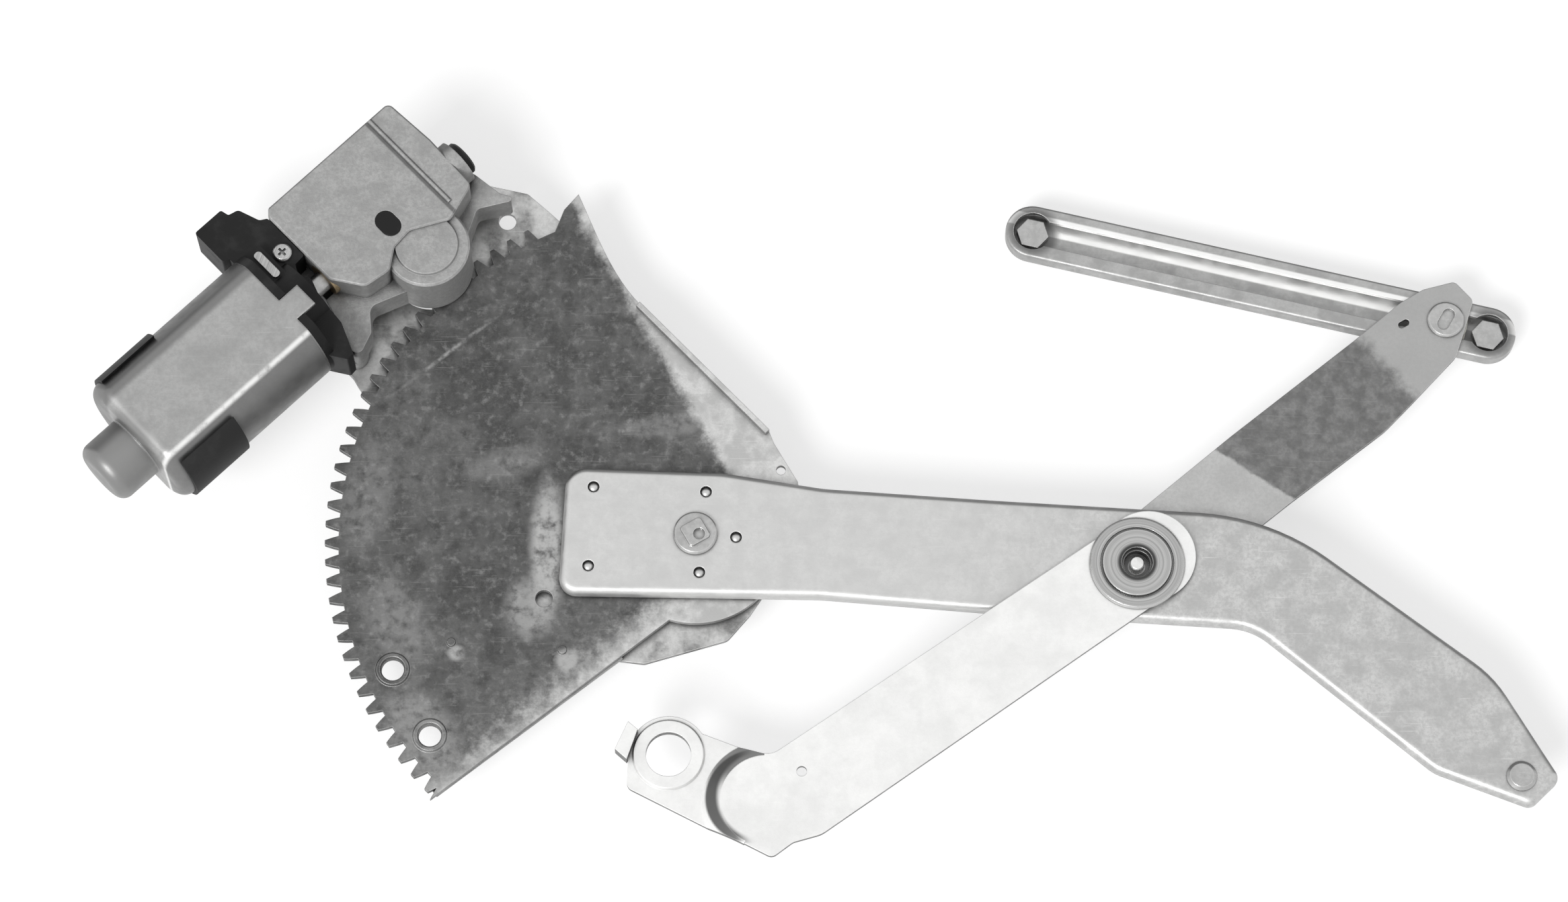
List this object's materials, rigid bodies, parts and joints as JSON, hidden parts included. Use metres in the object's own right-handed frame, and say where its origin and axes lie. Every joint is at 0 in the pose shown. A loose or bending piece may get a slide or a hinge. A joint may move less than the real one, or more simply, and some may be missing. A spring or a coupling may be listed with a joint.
{
  "type": "window regulator",
  "caption": "Cross-arm electric window regulator: a motor with a worm gear case turns a toothed sector on a pressed arm, with an equaliser arm and a channel guide rail.",
  "frame": {"origin": "on the sector pivot's axis, in the rear mounting plane of the base plate", "axes": "+X to the right along the main arm's length, +Y up in the plane of the plate, +Z away from the door panel, towards the motor side"},
  "size_m": [0.5476, 0.2873, 0.0675],
  "materials": {
    "pressed_steel": "zinc plated",
    "zinc_steel": "bright zinc plated",
    "can_steel": "drawn and plated",
    "ferrite": "sintered",
    "die_cast": "as cast",
    "black_plastic": "moulded",
    "nylon": "natural",
    "bronze": "sintered",
    "copper": "enamelled wire",
    "carbon": "carbon",
    "rubber": "moulded"
  },
  "bodies": {
    "base": {"base_plate": "zinc_steel", "pivot_stud": "zinc_steel", "motor_can": "can_steel", "can_boot": "rubber", "magnets": "ferrite", "end_bearing": "bronze", "front_bearing": "bronze", "brush_housing": "black_plastic", "connector_terminals": "bronze", "brushes": "carbon", "housing_clip": "zinc_steel", "housing_screw": "zinc_steel", "gear_case": "die_cast", "case_cover": "die_cast", "output_bush": "bronze", "worm_bore_plug": "black_plastic", "case_vent": "black_plastic", "case_screws": "zinc_steel"},
    "armature": {"worm_shaft": "zinc_steel", "armature_core": "zinc_steel", "armature_windings": "copper", "commutator": "copper"},
    "output": {"worm_wheel": "nylon", "drive_pinion": "zinc_steel"},
    "lift_arm": {"sector_gear": "pressed_steel", "main_arm": "pressed_steel", "pivot_bush": "bronze", "tip_stud": "zinc_steel"},
    "equaliser": {"equaliser_lower": "pressed_steel", "equaliser_upper": "pressed_steel", "pivot_rivet": "zinc_steel", "pivot_washer": "zinc_steel", "pivot_spacer": "nylon"},
    "slider": {"slider_shoe": "nylon", "slider_pin": "zinc_steel"},
    "rail": {"guide_rail": "pressed_steel", "rail_studs": "zinc_steel"}
  },
  "joints": [
    {"name": "lift_arm_swing", "type": "hinge", "parent": "base", "child": "lift_arm", "pos_m": [0, 0, 0], "axis": [0, 0, 1], "range_deg": [-40, 6]},
    {"name": "output_spin", "type": "hinge", "parent": "base", "child": "output", "pos_m": [-0.10141, 0.10724, 0.027], "axis": [0, 0, 1], "range_deg": [-86.25, 575]},
    {"name": "armature_spin", "type": "hinge", "parent": "base", "child": "armature", "pos_m": [-0.11423, 0.12058, 0.027], "axis": [0.7212, 0.6928, 0], "range_deg": [-2328.75, 15525]},
    {"name": "equaliser_swing", "type": "hinge", "parent": "lift_arm", "child": "equaliser", "pos_m": [0.1649, -0.0123, 0.01], "axis": [0, 0, 1], "range_deg": [-12, 80]},
    {"name": "slider_swivel", "type": "hinge", "parent": "equaliser", "child": "slider", "pos_m": [0.2852, 0.089, -0.002], "axis": [0, 0, 1], "range_deg": [-40, 6]},
    {"name": "rail_slide", "type": "slide", "parent": "slider", "child": "rail", "axis": [0.9728, -0.2317, 0], "range_m": [-0.0015, 0.144]}
  ],
  "couplings": [
    {"joint": "output_spin", "follows": "lift_arm_swing", "ratio": -14.375},
    {"joint": "armature_spin", "follows": "lift_arm_swing", "ratio": -388.12},
    {"joint": "equaliser_swing", "follows": "lift_arm_swing", "ratio": -2},
    {"joint": "slider_swivel", "follows": "lift_arm_swing", "ratio": 1}
  ]
}
